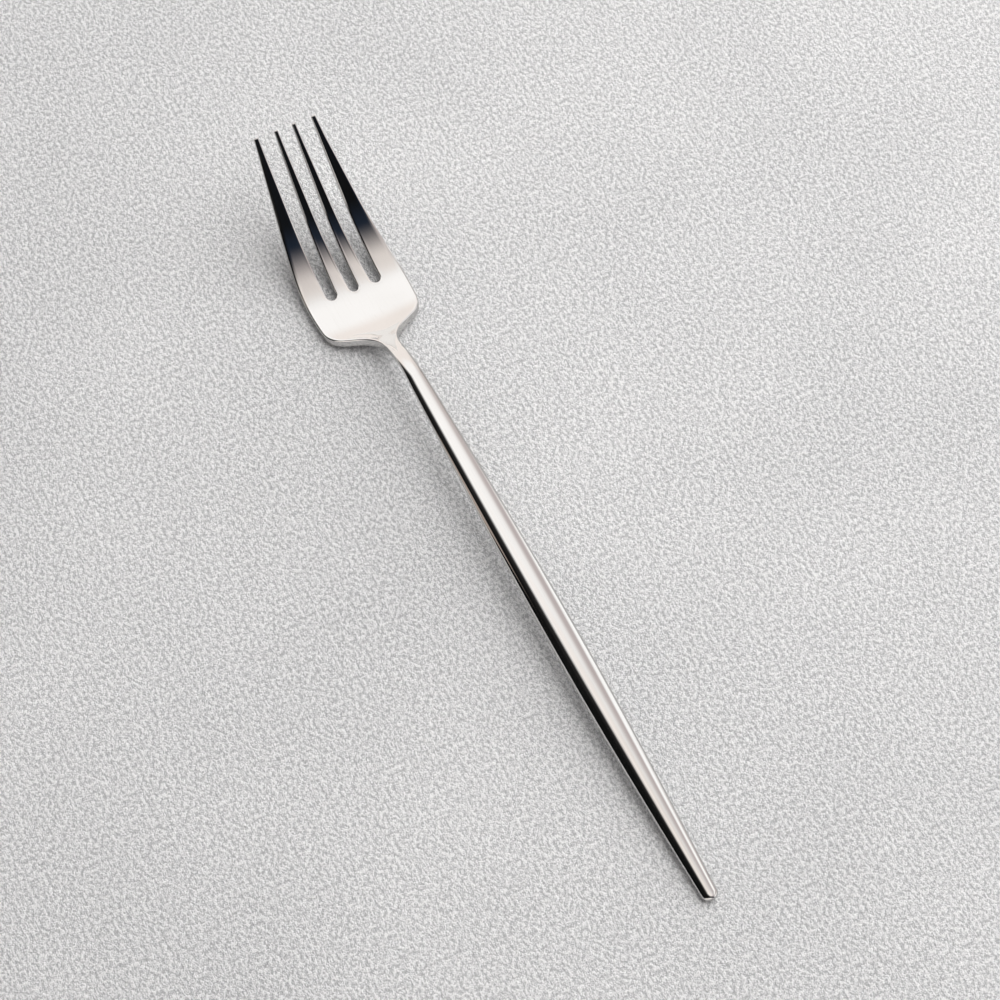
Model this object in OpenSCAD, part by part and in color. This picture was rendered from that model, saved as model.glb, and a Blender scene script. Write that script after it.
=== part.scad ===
// Four-tine dinner fork: a pressed steel head whose round tang is brazed
// into a slim forged handle of oval section. It lies tines up, as on a table.
// +X runs along the fork to the tines, +Y across it and +Z up.
// The origin is under the middle of its length, on the table.

/* [Fork] */
// Overall length, from the handle's end to the tips
fork_len = 212.4; // [190:0.1:230]
// Rise of the handle towards the head, in degrees
handle_rise = 3.25; // [2.8:0.05:3.7]

/* [Handle] */
// Width of the bar where its end starts to round
end_w = 3.8; // [3.5:0.1:5]
// Radius of the rounded end, seen from above
end_round = 1.6; // [0.8:0.1:1.7]
// Width of the bar at its widest place
belly_w = 7.2; // [6:0.1:8.5]
// Distance of the widest place from the handle's end
belly_from_end = 70; // [50:1:90]
// Width of the bar at the seam
seam_w = 4.5; // [4.2:0.1:5]
// Thickness of the bar as a share of its width
bar_flat_share = 0.56; // [0.53:0.01:1]

/* [Joint] */
// Diameter of the head's tang inside the handle
tang_d = 1.4; // [1.2:0.1:1.5]
// Length of the tang
tang_len = 10; // [6:0.5:14]
// Gap around the tang that the braze fills
braze_gap = 0.1; // [0.05:0.01:0.15]

/* [Head] */
// Greatest width of the head
head_w = 24.9; // [22:0.1:27]
// Distance of the widest place from the tips
widest_from_tip = 37.9; // [34:0.1:39]
// Narrowest width of the neck
waist_w = 3.7; // [3.4:0.1:4.2]
// Distance of the narrowest place from the tips
waist_from_tip = 60.4; // [58:0.1:62]
// Distance from the tips at which the shoulder's slope leaves the neck
shoulder_from_tip = 53.1; // [52:0.1:54]
// Slope of the shoulder's edge from the fork's axis, in degrees
shoulder_slope = 62; // [55:1:70]
// Radius of the hollow between neck and shoulder
neck_fillet_r = 7.6; // [6:0.1:9]
// Radius of the shoulder's corner
shoulder_r = 5.6; // [3:0.1:6]
// Radius of the head's sides at the widest place
side_r = 77; // [60:1:90]
// Rise of the side from shoulder to widest place, in degrees
side_slope = 5.1; // [4:0.1:6]
// Thickness of the head at its bowl
bowl_t = 2.1; // [1.6:0.05:2.4]
// Depth of the shallow dish across the bowl
dish = 0.2; // [0.1:0.05:0.4]

/* [Side curve] */
// Length of the straight neck between the handle and the first bend
neck_run = 3.6; // [2:0.1:5]
// Slope of the heel below the neck, in degrees
heel_slope = 27; // [25:0.5:29]
// Radius of the bend under the neck
neck_bend_r = 18; // [14:0.5:22]
// Radius of the bend at the heel of the bowl
heel_bend_r = 24; // [20:0.5:26]
// Distance from the tips at which the tines start to rise
bowl_from_tip = 40.9; // [39.5:0.1:42]
// Length of the flat on which the bowl rests
rest_len = 1; // [0.8:0.1:1.5]
// Radius of the rise of the tines
tine_bend_r = 40; // [36:0.5:44]
// Slope of the tips, in degrees
tine_slope = 36.5; // [30:0.5:38]

/* [Tines] */
// Thickness of the tines at the tips
tip_t = 0.95; // [0.7:0.05:1.3]
// Width across the four tips
tip_span = 15.8; // [14:0.1:18]
// Length of the slots between the tines
slot_len = 36.9; // [32:0.1:37]
// Width of the middle slot at its root
mid_slot_root_w = 2.15; // [1.6:0.05:2.6]
// Width of the middle slot near the tips
mid_slot_mouth_w = 3.1; // [2.6:0.1:3.4]
// Width of an outer slot at its root
side_slot_root_w = 2.4; // [1.8:0.1:2.8]
// Width of an outer slot near the tips
side_slot_mouth_w = 3.55; // [3.2:0.05:3.7]
// Distance of an outer slot's root from the middle of the head
side_slot_root_y = 5.65; // [5.4:0.05:5.9]
// Distance of an outer slot's mouth from the middle of the head
side_slot_mouth_y = 4.9; // [4.7:0.05:5]
// Length of the last taper of each tip
tip_taper_len = 5; // [3:0.5:8]
// Metal that this taper takes off each flank
tip_taper = 0.25; // [0.1:0.01:0.26]

/* [Hidden] */

// Spacing of the sections along the head
section_step = 1;
// Steps of a quarter turn in the outline's round corners
corner_steps = 10;
// Points along the handle's outline on each side of its thickest place
bar_steps = 22;
// Number of points round one section of the head or the handle
ring_points = 36;
// Cuts run past the metal by this much
overrun = 2;
$fn = 96;

// Places along the fork, measured from the handle's end.
tip_x = fork_len - tip_t / 2 * sin(tine_slope);
bowl_x = tip_x - bowl_from_tip;
heel_x = bowl_x - rest_len;
waist_x = tip_x - waist_from_tip;
blade_x = tip_x - widest_from_tip;
root_x = tip_x - slot_len;
taper_x = tip_x - tip_taper_len;

// The handle's axis: the underside of its rounded end touches the table
// where its own slope is the handle's rise.
end_core = end_w / 2 - end_round;
touch = atan(tan(handle_rise) / bar_flat_share);
end_z = bar_flat_share * (end_core + end_round * cos(touch)) * cos(handle_rise)
    - end_round * (1 - sin(touch)) * sin(handle_rise);
function axis_z(x) = end_z + x * tan(handle_rise);

// A smooth step from 0 to 1 while x goes from a to b.
function share_of(x, a, b) = min(1, max(0, (x - a) / (b - a)));
function smooth(u) = u * u * (3 - 2 * u);

// A curve from p at a, where it leaves with that slope, to q at b, where it is level.
function eased(x, a, b, p, slope, q) =
    let (u = share_of(x, a, b))
    p + (q - p) * smooth(u) + slope * (b - a) * u * (1 - u) * (1 - u);

// Side curve of the head, from the seam to the tips. The bend under the
// neck starts where the heel's slope then meets the bowl on the table.
bowl_z = bowl_t / 2;
drop_in = neck_bend_r * (cos(handle_rise) - cos(heel_slope)) + heel_bend_r * (1 - cos(heel_slope));
run_in = neck_bend_r * (sin(handle_rise) + sin(heel_slope)) + heel_bend_r * sin(heel_slope);
bend_x = (bowl_z - end_z + drop_in + tan(heel_slope) * (heel_x - run_in))
    / (tan(handle_rise) + tan(heel_slope));
heel_run = (heel_x - bend_x - run_in) / cos(heel_slope);
tip_run = (bowl_from_tip - tine_bend_r * sin(tine_slope)) / cos(tine_slope);

// The seam lies a straight run behind the neck's bend, and ends the handle.
seam_x = bend_x - neck_run * cos(handle_rise);
handle_len = seam_x / cos(handle_rise);
bar_taper = (belly_w - seam_w) / 2 * (PI / 2) / (handle_len - belly_from_end);
seam_t = seam_w * bar_flat_share;

// One stretch of the side curve: its length, and how far it turns up.
function arc_of(r, turn) = [r * abs(turn) * PI / 180, turn];
stretches = [
    [neck_run, 0],
    arc_of(neck_bend_r, -(handle_rise + heel_slope)),
    [heel_run, 0],
    arc_of(heel_bend_r, heel_slope),
    [rest_len, 0],
    arc_of(tine_bend_r, tine_slope),
    [tip_run, 0]
];

// A place on the side curve is [x, z, slope].
function chord(len, turn) =
    turn == 0 ? len : 2 * len * 180 / (PI * turn) * sin(turn / 2);
function ahead(at, len, turn) = [
    at.x + chord(len, turn) * cos(at[2] + turn / 2),
    at.y + chord(len, turn) * sin(at[2] + turn / 2),
    at[2] + turn
];
function starts(at, i = 0) = i == len(stretches) ? [at]
    : concat([at], starts(ahead(at, stretches[i][0], stretches[i][1]), i + 1));
joints_at = starts([seam_x, axis_z(seam_x), handle_rise]);
function steps_of(i) = ceil(stretches[i][0] / section_step);
places = concat(
    [for (i = [0 : len(stretches) - 1], k = [0 : steps_of(i) - 1])
        ahead(joints_at[i], stretches[i][0] * k / steps_of(i), stretches[i][1] * k / steps_of(i))],
    [joints_at[len(stretches)]]
);

// The side's arc: widest at blade_x, and tangent to the tines' outer flank.
shoulder_x = tip_x - shoulder_from_tip;
side_mid = [blade_x, head_w / 2 - side_r];
to_tip = [tip_x - side_mid.x, tip_span / 2 - side_mid.y];
flank_slope = asin(side_r / norm(to_tip)) - atan2(to_tip.y, to_tip.x);
function on_side(a) = [side_mid.x - side_r * sin(a), side_mid.y + side_r * cos(a)];

// Half outline of the head, seen from above, as corners [x, y, radius].
side_start = on_side(side_slope);
shoulder_run = (side_start.y - waist_w / 2 - (side_start.x - shoulder_x) * tan(side_slope))
    / (tan(shoulder_slope) - tan(side_slope));
corners = [
    [waist_x, waist_w / 2, 0],
    [shoulder_x, waist_w / 2, neck_fillet_r],
    [shoulder_x + shoulder_run, waist_w / 2 + shoulder_run * tan(shoulder_slope), shoulder_r],
    [side_start.x, side_start.y, 0]
];
function heading(a, b) = atan2(b.y - a.y, b.x - a.x);
function rounded(i) =
    let (
        c = corners[i],
        first = heading(corners[i - 1], c),
        turn = heading(c, corners[i + 1]) - first,
        side = sign(turn),
        back = c[2] * tan(abs(turn) / 2),
        from = [c.x - back * cos(first), c.y - back * sin(first)],
        mid = [from.x - side * c[2] * sin(first), from.y + side * c[2] * cos(first)]
    )
    [for (k = [0 : corner_steps])
        let (a = first + turn * k / corner_steps)
        [mid.x + side * c[2] * sin(a), mid.y - side * c[2] * cos(a)]];
half_outline = concat(
    [[waist_x, waist_w / 2]],
    rounded(1),
    rounded(2),
    [for (k = [0 : corner_steps]) on_side(side_slope - (side_slope + flank_slope) * k / corner_steps)],
    [[tip_x, tip_span / 2]]
);

// Half width and half thickness of the head at a place along it.
function half_w(x) = x < waist_x
    ? eased(x, seam_x, waist_x, seam_w / 2, -bar_taper, waist_w / 2)
    : lookup(x, half_outline);
function half_t(x) = x < bowl_x
    ? eased(x, seam_x, heel_x, seam_t / 2, -bar_taper * bar_flat_share, bowl_t / 2)
    : bowl_t / 2 + (tip_t - bowl_t) / 2 * share_of(x, bowl_x, tip_x);

// A section is an oval at the seam and a flat bar with round edges from
// the shoulder on: the exponent of its outline grows, and its faces are cut flat.
round_power_share = 2;
flat_power_share = 8;
flat_cut_share = 1.03;
function blade_share(x) = smooth(share_of(x, seam_x, shoulder_x));
function power(x) = round_power_share + (flat_power_share - round_power_share) * blade_share(x);
function rise(u, x) = min(1, (1 + (flat_cut_share - 1) * blade_share(x))
    * pow(max(0, 1 - pow(abs(u), power(x))), 1 / power(x)));
function dish_at(u, x) = dish * (1 - u * u) * blade_share(x) * (1 - share_of(x, bowl_x, tip_x));
function ring_at(p) = [for (k = [0 : ring_points - 1])
    let (
        u = cos(360 * k / ring_points),
        top = sin(360 * k / ring_points) >= 0,
        t = half_t(p.x),
        up = top ? t * rise(u, p.x) - dish_at(u, p.x) : -t * rise(u, p.x)
    )
    [p.x - up * sin(p[2]), half_w(p.x) * u, p.y + up * cos(p[2])]];

// A solid through rings of points, each ring anticlockwise about the way ahead.
module loft(rings) {
    n = ring_points;
    last = (len(rings) - 1) * n;
    polyhedron(
        points = [for (r = rings, q = r) q],
        faces = concat(
            [[for (k = [0 : n - 1]) k]],
            [for (i = [0 : len(rings) - 2], k = [0 : n - 1])
                let (a = i * n + k, b = i * n + (k + 1) % n)
                each [[a, a + n, b], [b, a + n, b + n]]],
            [[for (k = [n - 1 : -1 : 0]) last + k]]
        ),
        convexity = 6
    );
}

// A slot runs from its round root to its mouth, and opens by the tips' taper.
module slot(root_y, root_w, mouth_y, mouth_w) {
    r = root_w / 2;
    end_x = tip_x + overrun;
    lean = (mouth_y - root_y) / (taper_x - root_x);
    flare = tip_taper / tip_taper_len * (tip_taper_len + overrun);
    end_y = mouth_y + lean * (end_x - taper_x);
    translate([0, 0, -overrun])
        linear_extrude(height = joints_at[len(stretches)].y + tip_t + 2 * overrun)
            polygon(concat(
                [for (k = [0 : corner_steps])
                    let (a = 270 - 180 * k / corner_steps)
                    [root_x + r + r * cos(a), root_y + r * sin(a)]],
                [[taper_x, mouth_y + mouth_w / 2],
                 [end_x, end_y + mouth_w / 2 + flare],
                 [end_x, end_y - mouth_w / 2 - flare],
                 [taper_x, mouth_y - mouth_w / 2]]
            ));
}

// Puts a shape that stands on z = 0 at the seam, with +Z back along the handle.
module at_seam() {
    translate([seam_x, 0, axis_z(seam_x)])
        rotate([0, -90 - handle_rise, 0])
            children();
}

// The frame's origin is under the middle of the fork.
module in_frame() {
    translate([-fork_len / 2, 0, 0])
        children();
}

// Head: tines, bowl, shoulders and neck in one pressing, with a round tang.
module fork_head() {
    color([0.80, 0.80, 0.79])
        in_frame()
            union() {
                difference() {
                    loft([for (p = places) ring_at(p)]);
                    slot(0, mid_slot_root_w, 0, mid_slot_mouth_w);
                    slot(side_slot_root_y, side_slot_root_w, side_slot_mouth_y, side_slot_mouth_w);
                    slot(-side_slot_root_y, side_slot_root_w, -side_slot_mouth_y, side_slot_mouth_w);
                }
                at_seam()
                    translate([0, 0, -overrun])
                        cylinder(d = tang_d, h = overrun + tang_len);
            }
}

// Half width of the bar at a distance s from the handle's end.
function swell(s) = s < belly_from_end
    ? end_w / 2 + (belly_w - end_w) / 2 * sin(90 * share_of(s, end_round, belly_from_end))
    : seam_w / 2 + (belly_w - seam_w) / 2 * sin(90 * share_of(s, handle_len, belly_from_end));
function bar_half_w(s) = s < end_round
    ? end_core + sqrt(end_round * end_round - (end_round - s) * (end_round - s))
    : swell(s);
function between(a, b, k) = a + (b - a) * k / bar_steps;
bar_stations = concat(
    [for (k = [0 : bar_steps]) between(handle_len, belly_from_end, k)],
    [for (k = [1 : bar_steps]) between(belly_from_end, end_round, k)],
    [for (k = [1 : corner_steps]) end_round * (1 - sin(90 * k / corner_steps))]
);

// Handle: a solid bar of oval section with a blind socket for the tang.
module handle() {
    color([0.78, 0.78, 0.77])
        in_frame()
            at_seam()
                difference() {
                    loft([for (s = bar_stations)
                        [for (k = [0 : ring_points - 1])
                            let (a = 360 * k / ring_points, w = bar_half_w(s))
                            [bar_flat_share * w * cos(a), w * sin(a), handle_len - s]]]);
                    translate([0, 0, -overrun])
                        cylinder(d = tang_d + 2 * braze_gap, h = overrun + tang_len + braze_gap);
                }
}

// Braze: the film of filler metal that fills the gap round the tang.
module braze_film() {
    color([0.85, 0.82, 0.72])
        in_frame()
            at_seam()
                difference() {
                    cylinder(d = tang_d + 2 * braze_gap, h = tang_len + braze_gap);
                    translate([0, 0, -overrun])
                        cylinder(d = tang_d, h = overrun + tang_len);
                }
}

fork_head();
handle();
braze_film();
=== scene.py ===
"""A four-tine dinner fork of mirror-polished steel, lying tines up on pale plaster.

The frame's pieces are head, handle and the braze film between them. Head and
handle are made again here as finer meshes with rounded edges, in the same place.
"""
import math

import bmesh
import bpy
import numpy as np
from mathutils import Matrix, Vector


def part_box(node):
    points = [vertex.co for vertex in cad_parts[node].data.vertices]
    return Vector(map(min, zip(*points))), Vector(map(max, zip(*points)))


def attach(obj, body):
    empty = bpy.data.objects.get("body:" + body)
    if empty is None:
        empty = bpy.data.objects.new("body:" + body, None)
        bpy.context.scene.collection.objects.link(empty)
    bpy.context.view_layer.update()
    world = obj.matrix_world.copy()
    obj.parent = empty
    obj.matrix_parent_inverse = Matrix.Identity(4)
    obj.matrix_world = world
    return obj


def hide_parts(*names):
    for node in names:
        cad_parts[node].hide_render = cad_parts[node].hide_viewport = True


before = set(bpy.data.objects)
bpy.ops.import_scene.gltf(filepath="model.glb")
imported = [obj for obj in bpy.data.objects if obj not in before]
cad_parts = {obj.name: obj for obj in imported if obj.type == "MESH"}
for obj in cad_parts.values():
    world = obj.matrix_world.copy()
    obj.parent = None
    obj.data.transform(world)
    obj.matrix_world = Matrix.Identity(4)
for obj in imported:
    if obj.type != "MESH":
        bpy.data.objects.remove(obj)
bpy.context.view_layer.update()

MM = 0.001

# ---- Sizes of the fork in millimetres, measured from the handle's end ----
head_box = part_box("fork_head")
ORIGIN_X = head_box[1][0] / MM
FORK_LEN = 2 * ORIGIN_X

HANDLE_RISE = math.radians(3.25)
END_W = 3.8
END_ROUND = 1.6
BELLY_W = 7.2
BELLY_FROM_END = 70.0
SEAM_W = 4.5
BAR_FLATNESS = 0.56
TANG_D = 1.4
TANG_LEN = 10.0
BRAZE_GAP = 0.1

HEAD_W = 24.9
WIDEST_FROM_TIP = 37.9
WAIST_W = 3.7
WAIST_FROM_TIP = 60.4
SHOULDER_FROM_TIP = 53.1
SHOULDER_SLOPE = math.radians(62)
NECK_FILLET_R = 7.6
SHOULDER_R = 5.6
SIDE_R = 77.0
SIDE_SLOPE = math.radians(5.1)
BOWL_T = 2.1
DISH = 0.2

NECK_RUN = 3.6
HEEL_SLOPE = math.radians(27)
NECK_BEND_R = 18.0
HEEL_BEND_R = 24.0
BOWL_FROM_TIP = 40.9
REST_LEN = 1.0
TINE_BEND_R = 40.0
TINE_SLOPE = math.radians(36.5)

TIP_T = 0.95
TIP_SPAN = 15.8
SLOT_LEN = 36.9
MID_SLOT = (0.0, 2.15, 0.0, 3.1)
SIDE_SLOT = (5.65, 2.4, 4.9, 3.55)
TIP_TAPER_LEN = 5.0
TIP_TAPER = 0.25
EDGE_R = 0.45
TIP_CORNER_R = 0.25
END_LIP = 0.6
LIP_TUCK = 0.045

# An edge's radius is at most this share of half the thickness, and less at the tips.
EDGE_SHARE = 0.9
TIP_EDGE_LOSS = 0.5

# The neck is an oval bar until this far behind its waist, and a flat blade from
# this far past the foot of its shoulders.
NECK_BAR_RUN = 6.0
BLADE_PAST_SHOULDER = 1.0

# ---- Fineness of the meshes, lengths in millimetres ----
EDGE_STEPS = (0.0, 0.03, 0.1, 0.2, 0.32, 0.45)
EDGE_ROOM = 2.6
TINE_INNER_COLUMNS = 5
GAP_COLUMNS = 7
ROOT_BACK = 4.0
ROOT_ROWS = 12
FINE_STEP = 0.22
COARSE_STEP = 0.5
CURVE_STEP = 0.05
CORNER_STEPS = 24
BAR_RINGS = 190
BAR_SIDES = 96
MERGE = 1e-4
SHARP_EDGE = math.radians(50)

# ---- The photograph's view: the fork's heading in it, and the camera ----
HEADING = math.radians(26.88)
CAMERA_AIM_X = 110.01
CAMERA_AIM_Y = -4.81
CAMERA_AIM = Vector((CAMERA_AIM_X - ORIGIN_X, CAMERA_AIM_Y, 0.0)) * MM
CAMERA_DISTANCE = 0.882
CAMERA_ELEVATION = math.radians(58.88)
CAMERA_LENS = 139.95
VIEW_RIGHT = Vector((-math.sin(HEADING), -math.cos(HEADING), 0.0))
VIEW_AWAY = Vector((math.cos(HEADING), -math.sin(HEADING), 0.0))
UP = Vector((0.0, 0.0, 1.0))
SENSOR_W = 36.0
CLIP_START = 0.01

# ---- Finishes ----
# A scale is in cells of the pattern to a metre. A pair gives where on the pattern
# a mark begins and where it is full.
SMUDGE_SCALE = 55.0
HAIRLINE_SCALE = (70.0, 2600.0, 2600.0)
SPECK_SCALE = 900.0
SMUDGED = (0.45, 0.75)
MARKED = (0.55, 0.75)
SPECKED = (0.66, 0.72)
STEEL_ROUGH = 0.035
SMUDGE_ROUGH = 0.03
MARK_ROUGH = 0.035
SPECK_ROUGH = 0.05
STEEL_BRIGHT = (0.86, 0.848, 0.833, 1.0)
STEEL_DULL = (0.82, 0.805, 0.785, 1.0)
METAL_RELIEF = 0.00002

BRAZE_SCALE = 1500.0
BRAZE_DEEP = (0.85, 0.80, 0.66, 1.0)
BRAZE_PALE = (0.90, 0.87, 0.78, 1.0)

DRIFT_SCALE = 14.0
GRAIN_DRAWN = (1.0, 1.35, 1.0)
COARSE_GRAIN_SCALE = 950.0
FINE_GRAIN_SCALE = 2600.0
FINE_GRAIN_SHARE = 0.35
PITTED = (0.42, 0.57)
PLASTER_DEEP = (0.40, 0.41, 0.43, 1.0)
PLASTER_PALE = (0.97, 0.975, 0.99, 1.0)
PLASTER_RELIEF = 0.0016
BLACK = (0.0, 0.0, 0.0, 1.0)
FLOOR_SIZE = 6.0
# Painted shade: how far reflections see the floor blended towards black.
FLOOR_REFLECTED_SHADE = 0.30
FLOOR_MIRRORED_TO = (0.10, 0.60)

# ---- The studio ----
# Its places are directions from the fork: how far they go right, away or up in the
# photograph's view, from -1 to 1. A pair gives where a tone begins and where it is
# full.
ROOM_STRENGTH = 0.93
ROOM_STRENGTH_LOST = 0.53

DRAPE_R = 2.5
DRAPE_NORMAL = (0.358, 0.933, -0.046)
DRAPE_HEM = -0.13
DRAPE_TOP = 0.10
DRAPE_BEHIND = (-0.74, -0.60)
DRAPE_SOFT_RIGHT = (-0.15, 0.20)
SOFT_HEM = 0.02
SOFT_TOP = 0.10
DRAPE_RAISED_LEFT = (-0.45, -0.20)
DRAPE_RAISE = 0.05
DRAPE_BLACK = (0.006, 0.006, 0.006, 1.0)
DRAPE_GREY = (0.020, 0.019, 0.019, 1.0)
DRAPE_NAVY = (0.015, 0.022, 0.036, 1.0)
NAVY_RIGHT = (0.05, 0.35)
TINTED_FROM = (-0.30, -0.08)
POST = (0.44, 0.37, 0.33, 1.0)
POST_NEAR = (-0.04, -0.02)
POST_FAR = (0.01, 0.03)
POST_TOP = (0.40, 0.58)

WALL_BRIGHT = (1.19, 1.175, 1.165, 1.0)
WALL_PINK = (1.07, 1.00, 0.955, 1.0)
WALL_WARM = (0.60, 0.535, 0.53, 1.0)
WALL_FOOT = (0.42, 0.38, 0.36, 1.0)
WINDOW = (1.21, 1.21, 1.21, 1.0)
SHADED = (0.05, 0.04, 0.03, 1.0)
PINK_BELOW = (0.45, 0.72)
PINK_TOP = (0.90, 0.97)
DIM_RIGHT = (0.06, 0.43)
DIM_LESS_FAR = (0.20, 0.34)
DIM_LESS = 0.5
FAR = (0.78, 0.81)
WINDOW_SLANT = 0.35
WINDOW_LEFT = (0.285, 0.375)
WINDOW_RIGHT = (0.42, 0.50)
WINDOW_NEAR = (0.30, 0.45)
SIDE_RIGHT = (0.78, 0.90)
SIDE_ABOVE = (0.04, 0.12)
FOOT_TOP = (0.02, 0.16)
FOOT_RIGHT = (0.10, 0.40)
CORNER_RIGHT = (0.42, 0.55)
SHADE_WAY = (0.20, 0.10, 0.975)
SHADE_ROUND = (0.88, 1.0)
SHADE_RIGHT = (-0.15, 0.10)
SHADE_DEPTH = 0.18

KEY_WAY = (0.60, 0.38, 0.72)
KEY_DISTANCE = 1.3
KEY_SIZE = 2.2
KEY_WATTS = 47.0
KEY_TINT = (1.0, 0.985, 0.96)


# ---------------------------------------------------------------- node trees
class Value:
    """A socket of a node tree. Arithmetic on it adds Math nodes."""

    def __init__(self, tree, socket):
        self.tree = tree
        self.socket = socket

    def __add__(self, other):
        return self.tree.maths("ADD", self, other)

    def __sub__(self, other):
        return self.tree.maths("SUBTRACT", self, other)

    def __mul__(self, other):
        return self.tree.maths("MULTIPLY", self, other)

    def __truediv__(self, other):
        return self.tree.maths("DIVIDE", self, other)

    def __pow__(self, other):
        return self.tree.maths("POWER", self, other)

    def __rsub__(self, other):
        return self.tree.maths("SUBTRACT", other, self)

    __radd__ = __add__
    __rmul__ = __mul__


class Tree:
    """A node tree of a material, a world or a geometry modifier."""

    def __init__(self, nodes_of):
        self.tree = nodes_of

    def put(self, socket, value):
        if isinstance(value, Value):
            self.tree.links.new(value.socket, socket)
        else:
            socket.default_value = value

    def add(self, kind, settings=None, inputs=None, out=0):
        """A new node of that kind; its output named or numbered out is returned."""
        made = self.tree.nodes.new(kind)
        for name, value in (settings or {}).items():
            setattr(made, name, value)
        for name, value in (inputs or {}).items():
            self.put(made.inputs[name], value)
        return Value(self, made.outputs[out])

    def maths(self, operation, *values):
        return self.add("ShaderNodeMath", {"operation": operation}, dict(enumerate(values)))

    def smooth(self, value, low, high):
        """0 below low, 1 above high and a smooth step between them."""
        settings = {"interpolation_type": "SMOOTHSTEP"}
        inputs = {"Value": value, "From Min": low, "From Max": high}
        return self.add("ShaderNodeMapRange", settings, inputs)

    def blend(self, factor, a, b):
        """Colour a where factor is 0 and b where it is 1."""
        return self.add("ShaderNodeMix", {"data_type": "RGBA"}, {0: factor, 6: a, 7: b}, 2)

    def noise(self, place, scale, detail=4.0, roughness=0.5):
        inputs = {"Vector": place, "Scale": scale, "Detail": detail, "Roughness": roughness}
        return self.add("ShaderNodeTexNoise", None, inputs)

    def bump(self, strength, distance, height):
        """A normal that follows a height over the surface."""
        inputs = {"Strength": strength, "Distance": distance, "Height": height}
        return self.add("ShaderNodeBump", None, inputs, "Normal")

    def along(self, way, axis):
        """How far a direction goes along an axis, from -1 to 1."""
        return self.add(
            "ShaderNodeVectorMath", {"operation": "DOT_PRODUCT"}, {0: way, 1: tuple(axis)}, "Value")

    def stretched(self, place, scale):
        """The place with each axis scaled, so that a pattern on it is drawn out."""
        return self.add("ShaderNodeMapping", None, {"Vector": place, "Scale": scale})


def surface(name):
    """A new material: its tree and the socket of its surface."""
    material = bpy.data.materials.new(name)
    material.use_nodes = True
    tree = Tree(material.node_tree)
    material.node_tree.nodes.clear()
    output = material.node_tree.nodes.new("ShaderNodeOutputMaterial")
    return material, tree, output.inputs["Surface"]


# ----------------------------------------------------------------- materials
def polished_steel():
    """Mirror-polished stainless steel with wiping marks along the fork."""
    material, tree, out = surface("polished_steel")
    place = tree.add("ShaderNodeTexCoord", None, None, "Object")
    smudge = tree.noise(place, SMUDGE_SCALE, 3.0)
    hairline = tree.noise(tree.stretched(place, HAIRLINE_SCALE), 1.0, 2.0)
    speck = tree.noise(place, SPECK_SCALE, 2.0)
    marks = tree.smooth(hairline, *MARKED)
    dulled = tree.smooth(smudge, *SMUDGED)
    rough = STEEL_ROUGH + dulled * SMUDGE_ROUGH + marks * MARK_ROUGH
    rough = rough + tree.smooth(speck, *SPECKED) * SPECK_ROUGH
    tone = tree.blend(dulled * 0.6 + marks * 0.4, STEEL_BRIGHT, STEEL_DULL)
    height = hairline + smudge * 0.5
    bump = tree.bump(0.05, METAL_RELIEF, height)
    metal = tree.add(
        "ShaderNodeBsdfPrincipled", None,
        {"Base Color": tone, "Metallic": 1.0, "Roughness": rough, "Normal": bump})
    tree.put(out, metal)
    return material


def silver_braze():
    """The pale filler metal inside the joint, with the grain of a flowed film."""
    material, tree, out = surface("silver_braze")
    place = tree.add("ShaderNodeTexCoord", None, None, "Object")
    grain = tree.noise(place, BRAZE_SCALE, 3.0)
    tone = tree.blend(grain, BRAZE_DEEP, BRAZE_PALE)
    bump = tree.bump(0.3, METAL_RELIEF, grain)
    metal = tree.add(
        "ShaderNodeBsdfPrincipled", None,
        {"Base Color": tone, "Metallic": 1.0, "Roughness": 0.25 + grain * 0.2, "Normal": bump})
    tree.put(out, metal)
    return material


def pale_plaster():
    """The trowelled plaster that the fork lies on.

    Reflections see it darker, and lose it further off."""
    material, tree, out = surface("pale_plaster")
    place = tree.add("ShaderNodeTexCoord", None, None, "Object")
    drift = tree.noise(place, DRIFT_SCALE, 3.0)
    drawn = tree.stretched(place, GRAIN_DRAWN)
    coarse = tree.noise(drawn, COARSE_GRAIN_SCALE, 5.0, 0.7) * (1 - FINE_GRAIN_SHARE)
    relief = coarse + tree.noise(drawn, FINE_GRAIN_SCALE, 2.0, 0.6) * FINE_GRAIN_SHARE
    pits = tree.smooth(relief, *PITTED)
    tone = tree.blend(drift * 0.3 + pits * 0.7, PLASTER_DEEP, PLASTER_PALE)
    bump = tree.bump(1.0, PLASTER_RELIEF, relief)
    mirrored = tree.add("ShaderNodeLightPath", None, None, "Is Glossy Ray")
    # Painted shade: glossy rays see the floor blended towards black, as if it lay in shadow.
    seen = tree.blend(mirrored * FLOOR_REFLECTED_SHADE, tone, BLACK)
    plaster = tree.add(
        "ShaderNodeBsdfPrincipled", None,
        {"Base Color": seen, "Roughness": 0.9, "Specular IOR Level": 0.2, "Normal": bump})
    clear = tree.add("ShaderNodeBsdfTransparent")
    reach = tree.add("ShaderNodeVectorMath", {"operation": "LENGTH"}, {0: place}, "Value")
    gone = mirrored * tree.smooth(reach, *FLOOR_MIRRORED_TO)
    tree.put(out, tree.add("ShaderNodeMixShader", None, {0: gone, 1: plaster, 2: clear}))
    return material


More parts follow.
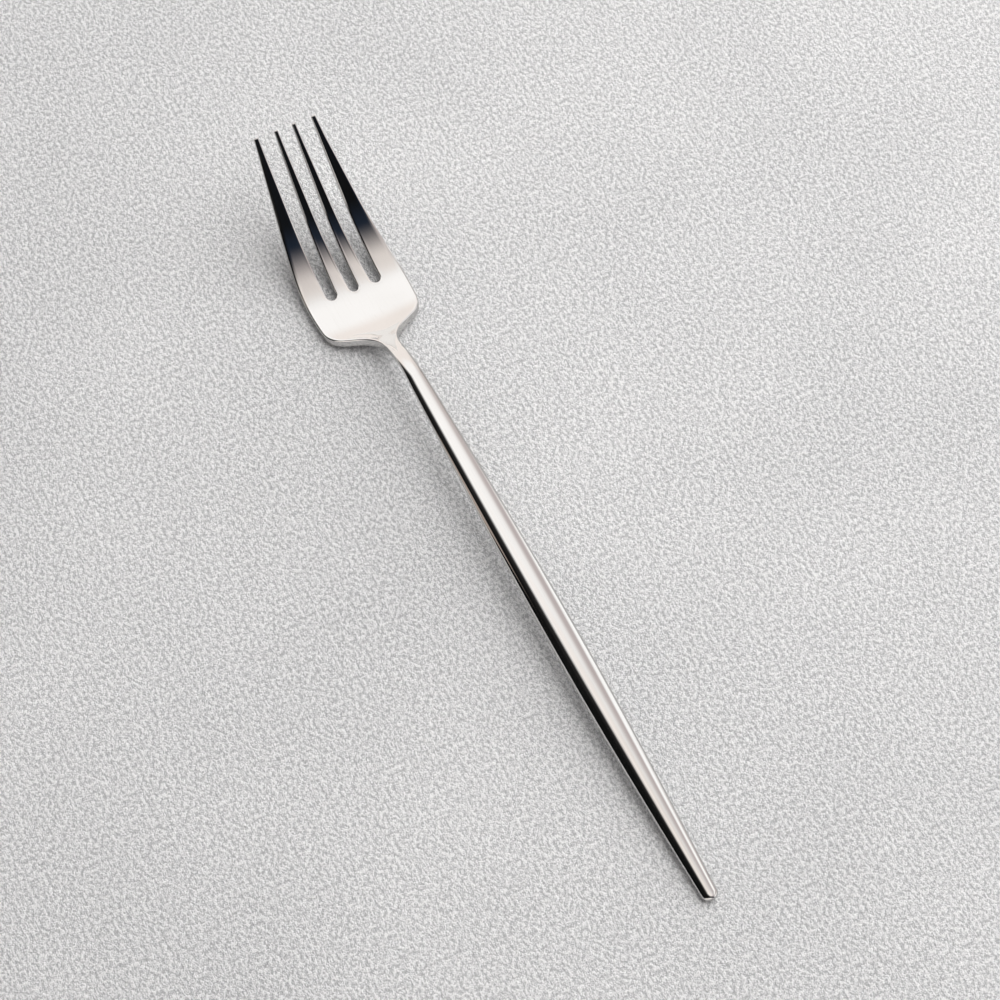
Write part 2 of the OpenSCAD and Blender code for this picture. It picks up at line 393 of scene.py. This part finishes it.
def dark_drape():
    """Black cloth on the camera's side of the studio, with a soft upper edge.

    It is navy on the right, and a low and narrow post on its left is warm and pale.
    It ends behind the camera, so that other views mirror the bright room there."""
    material, tree, out = surface("dark_drape")
    place = tree.add("ShaderNodeTexCoord", None, None, "Object")
    toward = tree.add("ShaderNodeVectorMath", {"operation": "NORMALIZE"}, {0: place}, "Vector")
    across = tree.along(toward, DRAPE_NORMAL)
    right = tree.along(toward, (1.0, 0.0, 0.0))
    away = tree.along(toward, (0.0, 1.0, 0.0))
    upward = tree.along(toward, UP)
    tint = tree.blend(tree.smooth(right, *NAVY_RIGHT), DRAPE_GREY, DRAPE_NAVY)
    dark = tree.blend(tree.smooth(across, *TINTED_FROM), DRAPE_BLACK, tint)
    post = tree.smooth(away, *POST_NEAR) * (1 - tree.smooth(away, *POST_FAR))
    low = 1 - tree.smooth(upward, *POST_TOP)
    tone = tree.blend(post * low, dark, POST)
    cloth = tree.add("ShaderNodeEmission", None, {"Color": tone, "Strength": ROOM_STRENGTH})
    clear = tree.add("ShaderNodeBsdfTransparent")
    soft = tree.smooth(right, *DRAPE_SOFT_RIGHT)
    height = across - (1 - tree.smooth(right, *DRAPE_RAISED_LEFT)) * DRAPE_RAISE
    above = tree.smooth(height, soft * SOFT_HEM + DRAPE_HEM, soft * SOFT_TOP + DRAPE_TOP)
    bare = tree.maths("MAXIMUM", above, 1 - tree.smooth(away, *DRAPE_BEHIND))
    tree.put(out, tree.add("ShaderNodeMixShader", None, {0: bare, 1: cloth, 2: clear}))
    return material


# ------------------------------------------------------- the fork's side view
def share_of(x, low, high):
    return np.clip((x - low) / (high - low), 0.0, 1.0)


def smooth_step(share):
    return share * share * (3 - 2 * share)


def eased(x, low, high, start, slope, end):
    """A curve from start, left with that slope, to end, where it is level."""
    share = share_of(x, low, high)
    lead = slope * (high - low) * share * (1 - share) ** 2
    return start + (end - start) * smooth_step(share) + lead


TIP_X = FORK_LEN - TIP_T / 2 * math.sin(TINE_SLOPE)
BOWL_X = TIP_X - BOWL_FROM_TIP
HEEL_X = BOWL_X - REST_LEN
WAIST_X = TIP_X - WAIST_FROM_TIP
BLADE_X = TIP_X - WIDEST_FROM_TIP
ROOT_X = TIP_X - SLOT_LEN
TAPER_X = TIP_X - TIP_TAPER_LEN
SHOULDER_X = TIP_X - SHOULDER_FROM_TIP

# The handle's underside touches the floor where its rounded end slopes as it rises.
TOUCH = math.atan(math.tan(HANDLE_RISE) / BAR_FLATNESS)
END_HALF = BAR_FLATNESS * (END_W / 2 - END_ROUND + END_ROUND * math.cos(TOUCH))
END_Z = (END_HALF * math.cos(HANDLE_RISE)
         - END_ROUND * (1 - math.sin(TOUCH)) * math.sin(HANDLE_RISE))
BENDS_DROP = (NECK_BEND_R * (math.cos(HANDLE_RISE) - math.cos(HEEL_SLOPE))
              + HEEL_BEND_R * (1 - math.cos(HEEL_SLOPE)))
BENDS_RUN = (NECK_BEND_R * (math.sin(HANDLE_RISE) + math.sin(HEEL_SLOPE))
             + HEEL_BEND_R * math.sin(HEEL_SLOPE))
BEND_X = ((BOWL_T / 2 - END_Z + BENDS_DROP + math.tan(HEEL_SLOPE) * (HEEL_X - BENDS_RUN))
          / (math.tan(HANDLE_RISE) + math.tan(HEEL_SLOPE)))
SEAM_X = BEND_X - NECK_RUN * math.cos(HANDLE_RISE)
SEAM_Z = END_Z + SEAM_X * math.tan(HANDLE_RISE)
HANDLE_LEN = SEAM_X / math.cos(HANDLE_RISE)
BAR_TAPER = (BELLY_W - SEAM_W) / 2 * (math.pi / 2) / (HANDLE_LEN - BELLY_FROM_END)


def side_curve():
    """Places, heights and slopes along the head's middle, from seam to tips."""
    stretches = (
        (NECK_RUN, 0.0),
        (NECK_BEND_R * (HANDLE_RISE + HEEL_SLOPE), -(HANDLE_RISE + HEEL_SLOPE)),
        ((HEEL_X - BEND_X - BENDS_RUN) / math.cos(HEEL_SLOPE), 0.0),
        (HEEL_BEND_R * HEEL_SLOPE, HEEL_SLOPE),
        (REST_LEN, 0.0),
        (TINE_BEND_R * TINE_SLOPE, TINE_SLOPE),
        ((BOWL_FROM_TIP - TINE_BEND_R * math.sin(TINE_SLOPE)) / math.cos(TINE_SLOPE), 0.0),
    )
    x, z, slope = SEAM_X, SEAM_Z, HANDLE_RISE
    places = []
    for length, turn in stretches:
        for share in np.linspace(0, 1, max(2, int(length / CURVE_STEP))):
            half = turn * share / 2
            chord = length * share * (math.sin(half) / half if half else 1.0)
            places.append((x + chord * math.cos(slope + half),
                           z + chord * math.sin(slope + half), slope + 2 * half))
        x, z, slope = places[-1]
    return np.array(places).T


def rounded_corner(before, corner, after, radius):
    """Points of the arc that rounds a corner of an outline."""
    first = math.atan2(corner[1] - before[1], corner[0] - before[0])
    turn = math.atan2(after[1] - corner[1], after[0] - corner[0]) - first
    side = math.copysign(1, turn)
    back = radius * math.tan(abs(turn) / 2)
    mid = (corner[0] - back * math.cos(first) - side * radius * math.sin(first),
           corner[1] - back * math.sin(first) + side * radius * math.cos(first))
    angles = first + turn * np.linspace(0, 1, CORNER_STEPS)
    return [(mid[0] + side * radius * math.sin(a), mid[1] - side * radius * math.cos(a))
            for a in angles]


def half_outline():
    """Half width of the head along it, from neck to tips, as two arrays."""
    mid = (BLADE_X, HEAD_W / 2 - SIDE_R)
    to_tip = (TIP_X - mid[0], TIP_SPAN / 2 - mid[1])
    flank_slope = math.asin(SIDE_R / math.hypot(*to_tip)) - math.atan2(to_tip[1], to_tip[0])
    side = [(mid[0] - SIDE_R * math.sin(a), mid[1] + SIDE_R * math.cos(a))
            for a in np.linspace(SIDE_SLOPE, -flank_slope, CORNER_STEPS)]
    run = ((side[0][1] - WAIST_W / 2 - (side[0][0] - SHOULDER_X) * math.tan(SIDE_SLOPE))
           / (math.tan(SHOULDER_SLOPE) - math.tan(SIDE_SLOPE)))
    waist = (WAIST_X, WAIST_W / 2)
    hollow = (SHOULDER_X, WAIST_W / 2)
    shoulder = (SHOULDER_X + run, WAIST_W / 2 + run * math.tan(SHOULDER_SLOPE))
    points = [waist, *rounded_corner(waist, hollow, shoulder, NECK_FILLET_R),
              *rounded_corner(hollow, shoulder, side[0], SHOULDER_R), *side,
              (TIP_X, TIP_SPAN / 2)]
    return np.array(points).T


OUTLINE = half_outline()


def half_width(x):
    neck = eased(x, SEAM_X, WAIST_X, SEAM_W / 2, -BAR_TAPER, WAIST_W / 2)
    return np.where(x < WAIST_X, neck, np.interp(x, *OUTLINE))


def half_thickness(x):
    back = eased(
        x, SEAM_X, HEEL_X, SEAM_W * BAR_FLATNESS / 2, -BAR_TAPER * BAR_FLATNESS, BOWL_T / 2)
    front = BOWL_T / 2 + (TIP_T - BOWL_T) / 2 * share_of(x, BOWL_X, TIP_X)
    return np.where(x < BOWL_X, back, front)


def blade_share(x):
    """0 where the neck is an oval bar and 1 where the head is a flat blade."""
    return smooth_step(share_of(x, WAIST_X - NECK_BAR_RUN, SHOULDER_X + BLADE_PAST_SHOULDER))


# ------------------------------------------------------- the head's flat plan
def slot_flanks(slot, x):
    """Both sides of a slot at x, ahead of its round root."""
    root_y, root_w, mouth_y, mouth_w = slot
    share = (x - ROOT_X - root_w / 2) / (TAPER_X - ROOT_X - root_w / 2)
    middle = root_y + (mouth_y - root_y) * share
    half = root_w / 2 + (mouth_w - root_w) / 2 * min(share, 1.0)
    half += TIP_TAPER * max(0.0, x - TAPER_X) / TIP_TAPER_LEN
    return middle - half, middle + half


def strip_borders(x):
    """The y of the head's borders at x: side, then both sides of each slot, side."""
    y0, y1 = slot_flanks(MID_SLOT, x)
    y2, y3 = slot_flanks(SIDE_SLOT, x)
    edge = float(half_width(x))
    return [-edge, -y3, -y2, y0, y1, y2, y3, edge]


def tine_columns(low, high, corner=0.0):
    """Places across a tine, close together at its two rounded edges."""
    low, high = low + corner, high - corner
    steps = np.array(EDGE_STEPS) * min(1.0, (high - low) / (EDGE_ROOM * EDGE_STEPS[-1]))
    inner = np.linspace(low + steps[-1], high - steps[-1], TINE_INNER_COLUMNS + 2)[1:-1]
    return [*(low + steps), *inner, *(high - steps[::-1])]


class Plan:
    """The head seen from above: points on a plane and the quads between them."""

    def __init__(self):
        self.points = []
        self.quads = []

    def row(self, xs, ys):
        first = len(self.points)
        self.points += [(float(x), float(y)) for x, y in zip(xs, ys)]
        return list(range(first, len(self.points)))

    def join(self, back, front):
        """Quads between two rows, in order from -Y to +Y."""
        for k in range(len(back) - 1):
            self.quads.append((back[k], front[k], front[k + 1], back[k + 1]))


def spaced(low, high, step):
    return list(np.linspace(low, high, max(2, int(round((high - low) / step)) + 1)))


def head_plan():
    """The plan's rows: neck and bowl in one strip, then four tines of their own."""
    plan = Plan()
    flank_x = ROOT_X + SIDE_SLOT[1] / 2
    back_x = ROOT_X - ROOT_BACK
    borders = strip_borders(flank_x)
    tines = [tine_columns(borders[k], borders[k + 1]) for k in (2, 4)]
    angles = np.linspace(-math.pi / 2, math.pi / 2, GAP_COLUMNS + 2)[1:-1]

    def root_row(share):
        """Points across the whole blade; share 0 lies on the slots' round roots."""
        x = flank_x + (back_x - flank_x) * share
        edge = float(half_width(x))
        xs, ys = [], []
        spans = ((-edge, borders[1]), (borders[2], borders[3]),
                 (borders[4], borders[5]), (borders[6], edge))
        for k, (low, high) in enumerate(spans):
            columns = tine_columns(low, high)
            xs += [x] * len(columns)
            ys += columns
            if k < 3:
                low, high = borders[2 * k + 1], borders[2 * k + 2]
                half = (high - low) / 2
                for a in angles:
                    arc = flank_x - (flank_x - ROOT_X) * math.cos(a)
                    xs.append(arc + (back_x - arc) * share)
                    spread = math.sin(a) * (1 - share) + a / math.pi * 2 * share
                    ys.append(low + half + half * spread)
        return xs, ys

    shares = [s / (flank_x - back_x) for s in EDGE_STEPS]
    shares += list(np.linspace(shares[-1], 1, ROOT_ROWS)[1:])
    rows = {s: plan.row(*root_row(s)) for s in reversed(shares)}
    ordered = [rows[s] for s in reversed(shares)]
    across = np.array(root_row(1.0)[1]) / float(half_width(back_x))
    neck = spaced(SEAM_X, WAIST_X, COARSE_STEP) + spaced(WAIST_X, HEEL_X, FINE_STEP)[1:]
    neck += spaced(HEEL_X, back_x, COARSE_STEP / 2)[1:-1]
    back_rows = [plan.row([x] * len(across), across * float(half_width(x))) for x in neck]
    for back, front in zip(back_rows + ordered[:-1], back_rows[1:] + ordered):
        plan.join(back, front)

    per_tine = len(tines[0])
    starts = [k * (per_tine + GAP_COLUMNS) for k in range(4)]
    ends = [TIP_X - s for s in reversed(EDGE_STEPS)]
    lengths = spaced(flank_x, ends[0], COARSE_STEP)[1:] + ends[1:]
    for k, start in enumerate(starts):
        back = ordered[-1][start:start + per_tine]
        for x in lengths:
            low, high = strip_borders(x)[2 * k:2 * k + 2]
            past = min(1.0, max(0.0, x - (TIP_X - TIP_CORNER_R)) / TIP_CORNER_R)
            corner = TIP_CORNER_R * (1 - math.sqrt(1 - past * past))
            columns = tine_columns(low, high, corner)
            front = plan.row([x] * len(columns), columns)
            plan.join(back, front)
            back = front
    return plan, back_rows[0]


def open_edges(quads):
    """The plan's outline: edges with a quad on one side only, in the quad's order."""
    seen = {}
    for quad in quads:
        for a, b in zip(quad, quad[1:] + quad[:1]):
            key = (min(a, b), max(a, b))
            seen[key] = None if key in seen else (a, b)
    return [edge for edge in seen.values() if edge]


def distance_to(points, edges):
    """Distance of each point from the nearest of the outline's edges."""
    nearest = np.full(len(points), np.inf)
    for a, b in edges:
        start, along = points[a], points[b] - points[a]
        share = np.clip((points - start) @ along / (along @ along), 0, 1)
        gap = np.linalg.norm(points - start - share[:, None] * along, axis=1)
        nearest = np.minimum(nearest, gap)
    return nearest


# ----------------------------------------------------------------- the pieces
def placed(name, data):
    """A new object in the scene."""
    made = bpy.data.objects.new(name, data)
    bpy.context.scene.collection.objects.link(made)
    return made


def close_seams(mesh):
    """Merges doubled points and turns every face outwards."""
    work = bmesh.new()
    work.from_mesh(mesh)
    bmesh.ops.remove_doubles(work, verts=work.verts, dist=MERGE * MM)
    bmesh.ops.recalc_face_normals(work, faces=work.faces)
    work.to_mesh(mesh)
    work.free()


def finish_piece(name, mesh, material, node):
    """Puts a finished mesh in the scene in place of a node of the frame."""
    close_seams(mesh)
    mesh.materials.clear()
    mesh.materials.append(material)
    for face in mesh.polygons:
        face.use_smooth = True
    mesh.set_sharp_from_angle(angle=SHARP_EDGE)
    piece = placed(name, mesh)
    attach(piece, "root")
    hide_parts(node)


def fork_head(material):
    """Tines, bowl, shoulders and neck with rounded edges, and the tang behind."""
    plan, seam_row = head_plan()
    flat = np.array(plan.points)
    outline = open_edges(plan.quads)
    at_seam = set(seam_row)
    rim = [edge for edge in outline if not (edge[0] in at_seam and edge[1] in at_seam)]
    depth = distance_to(flat, rim)

    x, y = flat.T
    side_x, side_z, side_slope = side_curve()
    height = np.interp(x, side_x, side_z)
    slope = np.interp(x, side_x, side_slope)
    width, thick = half_width(x), half_thickness(x)
    blade = blade_share(x)
    edge_r = np.minimum(EDGE_R, thick * (EDGE_SHARE - TIP_EDGE_LOSS * share_of(x, TAPER_X, TIP_X)))
    inside = np.minimum(depth, edge_r)
    flat_rise = thick - edge_r + np.sqrt(np.maximum(0, edge_r ** 2 - (edge_r - inside) ** 2))
    bar_half = half_width(np.minimum(x, WAIST_X))
    oval_rise = thick * np.sqrt(1 - np.maximum(0, 1 - depth / bar_half) ** 2)
    rise = oval_rise * (1 - blade) + flat_rise * blade
    dish = DISH * (1 - (y / width) ** 2) * blade * (1 - share_of(x, BOWL_X, TIP_X))
    places = []
    for up in (rise - dish * np.minimum(1, depth / EDGE_R), -rise):
        places.append(np.stack(
            [x - up * np.sin(slope) - ORIGIN_X, y, height + up * np.cos(slope)], axis=1))
    count = len(flat)
    points = [Vector(p) * MM for p in np.concatenate(places)]
    faces = list(plan.quads)
    faces += [tuple(count + k for k in reversed(quad)) for quad in plan.quads]
    faces += [(b, a, count + a, count + b) for a, b in rim]

    ring = list(seam_row) + [count + k for k in reversed(seam_row)]
    seam = Vector((SEAM_X - ORIGIN_X, 0, SEAM_Z)) * MM
    along = Vector((math.cos(HANDLE_RISE), 0, math.sin(HANDLE_RISE)))
    rings = [ring]
    for back in (0.0, TANG_LEN):
        first = len(points)
        for k in ring:
            out = (points[k] - seam).normalized()
            points.append(seam + out * TANG_D / 2 * MM - along * back * MM)
        rings.append(list(range(first, len(points))))
    for outer, inner in zip(rings, rings[1:]):
        for k in range(len(ring)):
            n = (k + 1) % len(ring)
            faces.append((outer[k], outer[n], inner[n], inner[k]))
    faces.append(tuple(rings[-1]))

    mesh = bpy.data.meshes.new("fork_head")
    mesh.from_pydata(points, [], faces)
    finish_piece("fork_head_polished", mesh, material, "fork_head")


def bar_tree():
    """Geometry nodes that draw out the handle's oval bar, with its blind socket."""
    group = bpy.data.node_groups.new("oval_bar", "GeometryNodeTree")
    sizes = {
        "Length": HANDLE_LEN - LIP_TUCK, "End Width": END_W, "End Round": END_ROUND,
        "Belly Width": BELLY_W, "Belly From End": BELLY_FROM_END,
        "Seam Width": SEAM_W, "Flatness": BAR_FLATNESS, "End Lip": END_LIP,
        "Socket Diameter": TANG_D + 2 * BRAZE_GAP, "Socket Depth": TANG_LEN + BRAZE_GAP,
    }
    for name in sizes:
        group.interface.new_socket(name, in_out="INPUT", socket_type="NodeSocketFloat")
    group.interface.new_socket("Rings", in_out="INPUT", socket_type="NodeSocketInt")
    group.interface.new_socket("Sides", in_out="INPUT", socket_type="NodeSocketInt")
    group.interface.new_socket("Material", in_out="INPUT", socket_type="NodeSocketMaterial")
    group.interface.new_socket("Geometry", in_out="OUTPUT", socket_type="NodeSocketGeometry")
    tree = Tree(group)
    given = group.nodes.new("NodeGroupInput")
    size = {socket.name: Value(tree, socket) for socket in given.outputs if socket.name}

    grid = tree.add(
        "GeometryNodeMeshGrid", None,
        {"Size X": 1.0, "Size Y": 1.0, "Vertices X": size["Rings"],
         "Vertices Y": size["Sides"] + 1})
    place = tree.add("GeometryNodeInputPosition")
    split = group.nodes.new("ShaderNodeSeparateXYZ")
    tree.put(split.inputs[0], place)
    ring = (Value(tree, split.outputs["X"]) + 0.5) * (size["Rings"] - 1)
    turn = Value(tree, split.outputs["Y"]) * (2 * math.pi)

    def after(step):
        """1 for rings past that step of the outline, else 0."""
        return tree.maths("GREATER_THAN", ring, step - 0.5)

    # Outline: socket's bottom, its edge and mouth, the seam's edge, then the bar.
    share = (ring - 3.0) / (size["Rings"] - 5)
    left = tree.maths("MAXIMUM", 0.0, tree.maths("MINIMUM", 1.0, 1.0 - share))
    from_end = size["Length"] * left * left
    ahead = from_end - size["Belly From End"]
    to_end = (0 - ahead) / (size["Belly From End"] - size["End Round"])
    to_seam = ahead / (size["Length"] - size["Belly From End"])

    def swell(toward, width):
        """Half width of the bar on one side of its belly."""
        wave = tree.maths("COSINE", toward * (math.pi / 2))
        return width / 2 + (size["Belly Width"] - width) / 2 * wave

    bar = tree.maths("GREATER_THAN", ahead, 0.0)
    body = swell(to_seam, size["Seam Width"]) * bar
    body = body + swell(to_end, size["End Width"]) * (1 - bar)
    inset = size["End Round"] - from_end
    dome = tree.maths("MAXIMUM", 0.0, size["End Round"] ** 2 - inset * inset)
    dome = tree.maths("SQRT", dome)
    rounded = size["End Width"] / 2 - size["End Round"] + dome
    at_end = tree.maths("LESS_THAN", from_end, size["End Round"])
    outside = rounded * at_end + body * (1 - at_end)
    pole = tree.maths("GREATER_THAN", ring, size["Rings"] - 1.5)
    bore = size["Socket Diameter"] / 2 * after(1) * (1 - after(3))
    wide = outside * after(3) * (1 - pole)
    near = tree.maths("MAXIMUM", 0.0, size["End Lip"] - from_end)
    lip = tree.maths("SQRT", size["End Lip"] ** 2 - near * near)
    crown = size["End Width"] / 2 - size["End Lip"] + lip
    tall = (crown * at_end + body * (1 - at_end)) * after(3) * (1 - pole)
    rise = tree.maths("SINE", turn)
    above = tree.maths("MAXIMUM", 0.0, rise)
    thick = (tall * above + wide * (rise - above)) * size["Flatness"]
    back = size["Socket Depth"] * (1 - after(2)) + (size["Length"] - from_end) * after(3)
    spot = tree.add(
        "ShaderNodeCombineXYZ", None,
        {"X": back, "Y": (bore + wide) * tree.maths("COSINE", turn), "Z": bore * rise + thick})
    drawn = tree.add("GeometryNodeSetPosition", None, {"Geometry": grid, "Position": spot})
    closed = tree.add("GeometryNodeMergeByDistance", None, {"Geometry": drawn, "Distance": MERGE})
    solid = tree.add("GeometryNodeRealizeInstances", None, {"Geometry": closed})
    steel = tree.add(
        "GeometryNodeSetMaterial", None, {"Geometry": solid, "Material": size["Material"]})
    tree.put(group.nodes.new("NodeGroupOutput").inputs["Geometry"], steel)
    return group, sizes


def handle(material):
    """The slim oval handle, drawn by its tree and laid along its rise."""
    group, sizes = bar_tree()
    holder = placed("handle_bar", bpy.data.meshes.new("handle_bar"))
    bar = holder.modifiers.new("oval_bar", "NODES")
    bar.node_group = group
    values = {**sizes, "Rings": BAR_RINGS, "Sides": BAR_SIDES, "Material": material}
    for item in group.interface.items_tree:
        if item.name in values:
            bar[item.identifier] = values[item.name]
    bpy.context.view_layer.update()
    shape = holder.evaluated_get(bpy.context.evaluated_depsgraph_get())
    mesh = bpy.data.meshes.new_from_object(shape)
    bpy.data.objects.remove(holder)
    back = Matrix.Rotation(math.pi, 4, "Z")
    lean = Matrix.Rotation(-HANDLE_RISE, 4, "Y")
    seam = Matrix.Translation(Vector((SEAM_X - ORIGIN_X, 0, SEAM_Z)) * MM)
    mesh.transform(seam @ lean @ back @ Matrix.Scale(MM, 4))
    finish_piece("handle_polished", mesh, material, "handle")


# --------------------------------------------------------- floor, light, view
def in_view(way):
    """A direction given as right, away and up in the photograph's view."""
    return (VIEW_RIGHT * way[0] + VIEW_AWAY * way[1] + UP * way[2]).normalized()


def plaster_floor():
    half = FLOOR_SIZE / 2
    mesh = bpy.data.meshes.new("floor")
    corners = [(-half, -half, 0), (half, -half, 0), (half, half, 0), (-half, half, 0)]
    mesh.from_pydata(corners, [], [(0, 1, 2, 3)])
    mesh.materials.append(pale_plaster())
    placed("floor", mesh)


def studio_drape():
    """A dome round the fork that only reflections see, dark on the camera's side."""
    work = bmesh.new()
    bmesh.ops.create_uvsphere(work, u_segments=64, v_segments=32, radius=DRAPE_R)
    mesh = bpy.data.meshes.new("studio_drape")
    work.to_mesh(mesh)
    work.free()
    mesh.materials.append(dark_drape())
    dome = placed("studio_drape", mesh)
    dome.matrix_world = Matrix((VIEW_RIGHT, VIEW_AWAY, UP)).transposed().to_4x4()
    dome.visible_camera = False
    dome.visible_diffuse = False
    dome.visible_shadow = False


def key_light():
    """One large soft lamp, high on the far right. Reflections don't show it."""
    lamp = bpy.data.lights.new("key_light", "AREA")
    lamp.shape = "RECTANGLE"
    lamp.size = lamp.size_y = KEY_SIZE
    lamp.energy = KEY_WATTS
    lamp.color = KEY_TINT
    light = placed("key_light", lamp)
    light.location = in_view(KEY_WAY) * KEY_DISTANCE
    light.rotation_euler = in_view(KEY_WAY).to_track_quat("Z", "Y").to_euler()
    light.visible_glossy = False


def studio_world():
    """A pale room: bright overhead and on the left, warm and dimmer on the right.

    On the right it has a slanting window, a bright side, a dim foot and a dim far
    corner, and overhead a faint shaded patch. Scattered light from it is weaker."""
    world = bpy.data.worlds.new("studio")
    world.use_nodes = True
    bpy.context.scene.world = world
    tree = Tree(world.node_tree)
    world.node_tree.nodes.clear()
    way = tree.add("ShaderNodeTexCoord", None, None, "Generated")
    right = tree.along(way, VIEW_RIGHT)
    away = tree.along(way, VIEW_AWAY)
    upward = tree.along(way, UP)
    far = tree.smooth(away, *FAR)

    less = tree.smooth(away - right, *DIM_LESS_FAR) * DIM_LESS
    dim = tree.smooth(right, *DIM_RIGHT) * (1 - less)
    foot = (1 - tree.smooth(upward, *FOOT_TOP)) * tree.smooth(right, *FOOT_RIGHT)
    corner = far * tree.smooth(right, *CORNER_RIGHT)
    pink = 1 - tree.smooth(upward, *PINK_BELOW) * (1 - tree.smooth(upward, *PINK_TOP))
    wall = tree.blend(dim, tree.blend(pink, WALL_BRIGHT, WALL_PINK), WALL_WARM)
    wall = tree.blend(tree.maths("MAXIMUM", foot, corner), wall, WALL_FOOT)

    slant = right - away * WINDOW_SLANT
    window = tree.smooth(slant, *WINDOW_LEFT) * (1 - tree.smooth(slant, *WINDOW_RIGHT))
    window = window * tree.smooth(away, *WINDOW_NEAR) * (1 - far)
    side = tree.smooth(right, *SIDE_RIGHT) * tree.smooth(upward, *SIDE_ABOVE)
    lit = tree.blend(tree.maths("MAXIMUM", window, side), wall, WINDOW)

    shade = tree.smooth(tree.along(way, in_view(SHADE_WAY)), *SHADE_ROUND)
    shade = shade * tree.smooth(right, *SHADE_RIGHT)
    tone = tree.blend(shade * SHADE_DEPTH, lit, SHADED)
    scattered = tree.add("ShaderNodeLightPath", None, None, "Is Diffuse Ray")
    strength = ROOM_STRENGTH - scattered * ROOM_STRENGTH_LOST
    room = tree.add("ShaderNodeBackground", None, {"Color": tone, "Strength": strength})
    output = world.node_tree.nodes.new("ShaderNodeOutputWorld")
    tree.put(output.inputs["Surface"], room)


def camera():
    """The photograph's camera: its height, aim and lens."""
    lens = bpy.data.cameras.new("camera")
    lens.sensor_width = SENSOR_W
    lens.lens = CAMERA_LENS
    lens.clip_start = CLIP_START
    eye = placed("camera", lens)
    back = in_view((0.0, -math.cos(CAMERA_ELEVATION), math.sin(CAMERA_ELEVATION)))
    axes = Matrix((VIEW_RIGHT, back.cross(VIEW_RIGHT), back)).transposed().to_4x4()
    eye.matrix_world = Matrix.Translation(CAMERA_AIM + back * CAMERA_DISTANCE) @ axes
    bpy.context.scene.camera = eye


steel = polished_steel()
fork_head(steel)
handle(steel)
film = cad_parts["braze_film"].data.materials
film.clear()
film.append(silver_braze())
plaster_floor()
studio_drape()
studio_world()
key_light()
camera()
bpy.context.scene.view_settings.view_transform = "Standard"
